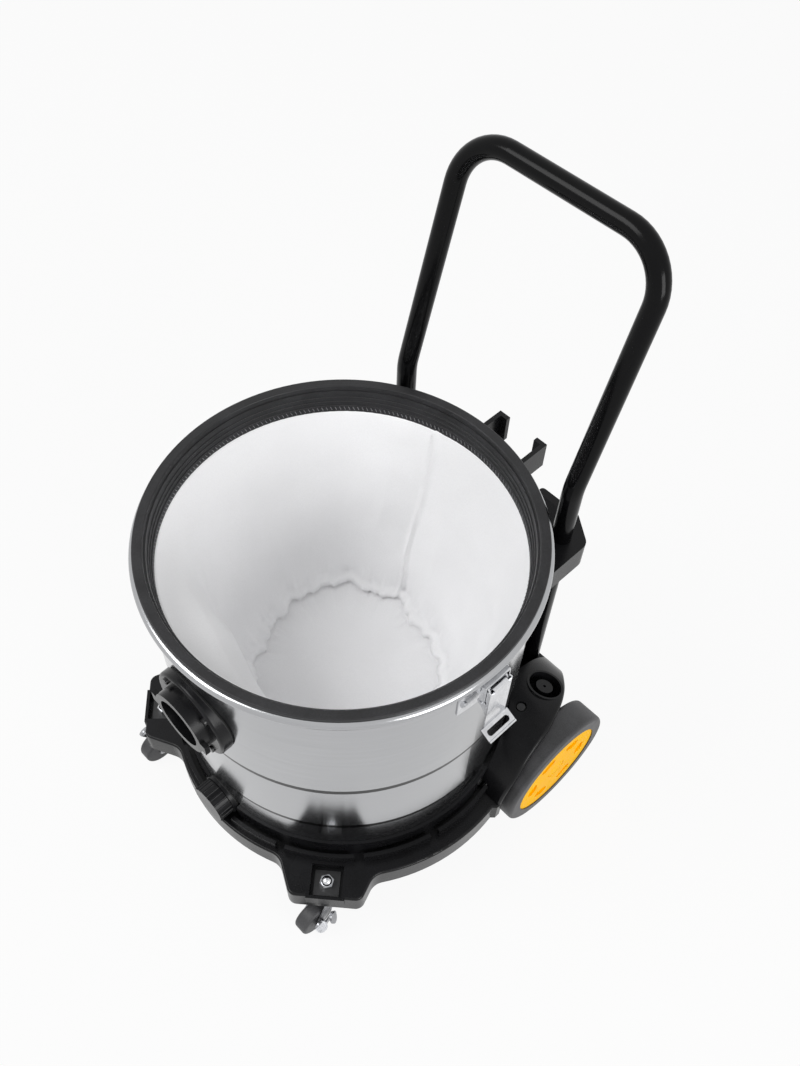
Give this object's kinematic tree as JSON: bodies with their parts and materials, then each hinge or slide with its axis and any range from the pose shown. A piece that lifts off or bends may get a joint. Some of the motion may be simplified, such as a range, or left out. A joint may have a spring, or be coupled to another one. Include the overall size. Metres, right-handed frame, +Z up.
{
  "type": "shop vacuum",
  "caption": "Wet and dry shop vacuum shown without its motor head: steel drum with cloth filter, hose inlet, drain, latches and push handle on a castor dolly with rear wheels.",
  "frame": {"origin": "on the floor under the axis of the drum", "axes": "+Z up, +Y towards the push handle at the rear, +X to the right seen from behind the handle"},
  "size_m": [0.5188, 0.5494, 0.789],
  "materials": {
    "stainless_steel": "bright satin",
    "black_plastic": "moulded satin",
    "black_paint": "gloss",
    "black_rubber": "matt",
    "tyre_rubber": "matt",
    "yellow_plastic": "semi-gloss",
    "bush_plastic": "matt",
    "white_cloth": "felted cloth",
    "bright_steel": "bright plated",
    "zinc_steel": "zinc plated"
  },
  "bodies": {
    "dolly": {"tank": "stainless_steel", "inlet_fitting": "black_plastic", "inlet_gasket": "black_rubber", "inlet_deflector": "black_plastic", "inlet_screws": "zinc_steel", "drain_spout": "black_plastic", "drain_gasket": "black_rubber", "drain_nut": "black_plastic", "latch_base_right": "bright_steel", "latch_base_left": "bright_steel", "latch_rivets": "bright_steel", "latch_pivot_pins": "bright_steel", "handle_tube": "black_paint", "handle_bracket": "black_plastic", "bracket_screws": "zinc_steel", "handle_screws": "zinc_steel", "chassis": "black_plastic", "wheel_housing_right": "black_plastic", "wheel_housing_left": "black_plastic", "housing_screws": "zinc_steel", "rear_axle": "zinc_steel", "axle_spacers": "zinc_steel", "axle_clips": "zinc_steel", "caster_stems": "zinc_steel", "caster_nuts": "bright_steel", "caster_washers": "zinc_steel"},
    "filter": {"filter_ring": "black_plastic", "filter_bag": "white_cloth"},
    "drain_cap": {"drain_cap": "black_plastic", "drain_seal": "black_rubber"},
    "latch_lever_right": {"latch_lever_right": "bright_steel", "claw_pin_right": "bright_steel"},
    "latch_claw_right": {"latch_claw_right": "bright_steel"},
    "caster_fork_right": {"caster_fork_right": "zinc_steel", "caster_axle_right": "zinc_steel"},
    "caster_wheel_right": {"caster_wheel_right": "black_rubber"},
    "caster_brake_right": {"caster_brake_right": "zinc_steel"},
    "rear_wheel_right": {"rear_tyre_right": "tyre_rubber", "rear_hub_right": "yellow_plastic", "rear_bush_right": "bush_plastic", "hub_cap_right": "yellow_plastic"},
    "latch_lever_left": {"latch_lever_left": "bright_steel", "claw_pin_left": "bright_steel"},
    "latch_claw_left": {"latch_claw_left": "bright_steel"},
    "caster_fork_left": {"caster_fork_left": "zinc_steel", "caster_axle_left": "zinc_steel"},
    "caster_wheel_left": {"caster_wheel_left": "black_rubber"},
    "caster_brake_left": {"caster_brake_left": "zinc_steel"},
    "rear_wheel_left": {"rear_tyre_left": "tyre_rubber", "rear_hub_left": "yellow_plastic", "rear_bush_left": "bush_plastic", "hub_cap_left": "yellow_plastic"}
  },
  "joints": [
    {"name": "filter_lift", "type": "slide", "parent": "dolly", "child": "filter", "axis": [0, 0, 1], "range_m": [0, 0.5]},
    {"name": "drain_cap_turn", "type": "hinge", "parent": "dolly", "child": "drain_cap", "pos_m": [0, -0.225, 0.142], "axis": [0, -1, 0], "range_deg": [0, 540]},
    {"name": "latch_lever_right_turn", "type": "hinge", "parent": "dolly", "child": "latch_lever_right", "pos_m": [0.226, 0, 0.472], "axis": [0, -1, 0], "range_deg": [0, 110]},
    {"name": "latch_claw_right_turn", "type": "hinge", "parent": "latch_lever_right", "child": "latch_claw_right", "pos_m": [0.226, 0, 0.452], "axis": [0, -1, 0], "range_deg": [-110, 0]},
    {"name": "caster_swivel_right", "type": "hinge", "parent": "dolly", "child": "caster_fork_right", "pos_m": [0.166, -0.18599, 0.07], "axis": [0, 0, 1], "continuous": true},
    {"name": "caster_wheel_right_spin", "type": "hinge", "parent": "caster_fork_right", "child": "caster_wheel_right", "pos_m": [0.166, -0.21199, 0.025], "axis": [1, 0, 0], "continuous": true},
    {"name": "caster_brake_right_tilt", "type": "hinge", "parent": "caster_fork_right", "child": "caster_brake_right", "pos_m": [0.1826, -0.21199, 0.025], "axis": [1, 0, 0], "range_deg": [-20, 20]},
    {"name": "rear_wheel_right_spin", "type": "hinge", "parent": "dolly", "child": "rear_wheel_right", "pos_m": [0.2394, 0.1437, 0.09], "axis": [1, 0, 0], "continuous": true},
    {"name": "latch_lever_left_turn", "type": "hinge", "parent": "dolly", "child": "latch_lever_left", "pos_m": [-0.226, 0, 0.472], "axis": [0, 1, 0], "range_deg": [0, 110]},
    {"name": "latch_claw_left_turn", "type": "hinge", "parent": "latch_lever_left", "child": "latch_claw_left", "pos_m": [-0.226, 0, 0.452], "axis": [0, 1, 0], "range_deg": [-110, 0]},
    {"name": "caster_swivel_left", "type": "hinge", "parent": "dolly", "child": "caster_fork_left", "pos_m": [-0.166, -0.18599, 0.07], "axis": [0, 0, 1], "continuous": true},
    {"name": "caster_wheel_left_spin", "type": "hinge", "parent": "caster_fork_left", "child": "caster_wheel_left", "pos_m": [-0.166, -0.21199, 0.025], "axis": [1, 0, 0], "continuous": true},
    {"name": "caster_brake_left_tilt", "type": "hinge", "parent": "caster_fork_left", "child": "caster_brake_left", "pos_m": [-0.1826, -0.21199, 0.025], "axis": [-1, 0, 0], "range_deg": [-20, 20]},
    {"name": "rear_wheel_left_spin", "type": "hinge", "parent": "dolly", "child": "rear_wheel_left", "pos_m": [-0.2394, 0.1437, 0.09], "axis": [1, 0, 0], "continuous": true}
  ],
  "couplings": [
    {"joint": "latch_claw_right_turn", "follows": "latch_lever_right_turn", "ratio": -1},
    {"joint": "latch_claw_left_turn", "follows": "latch_lever_left_turn", "ratio": -1}
  ]
}
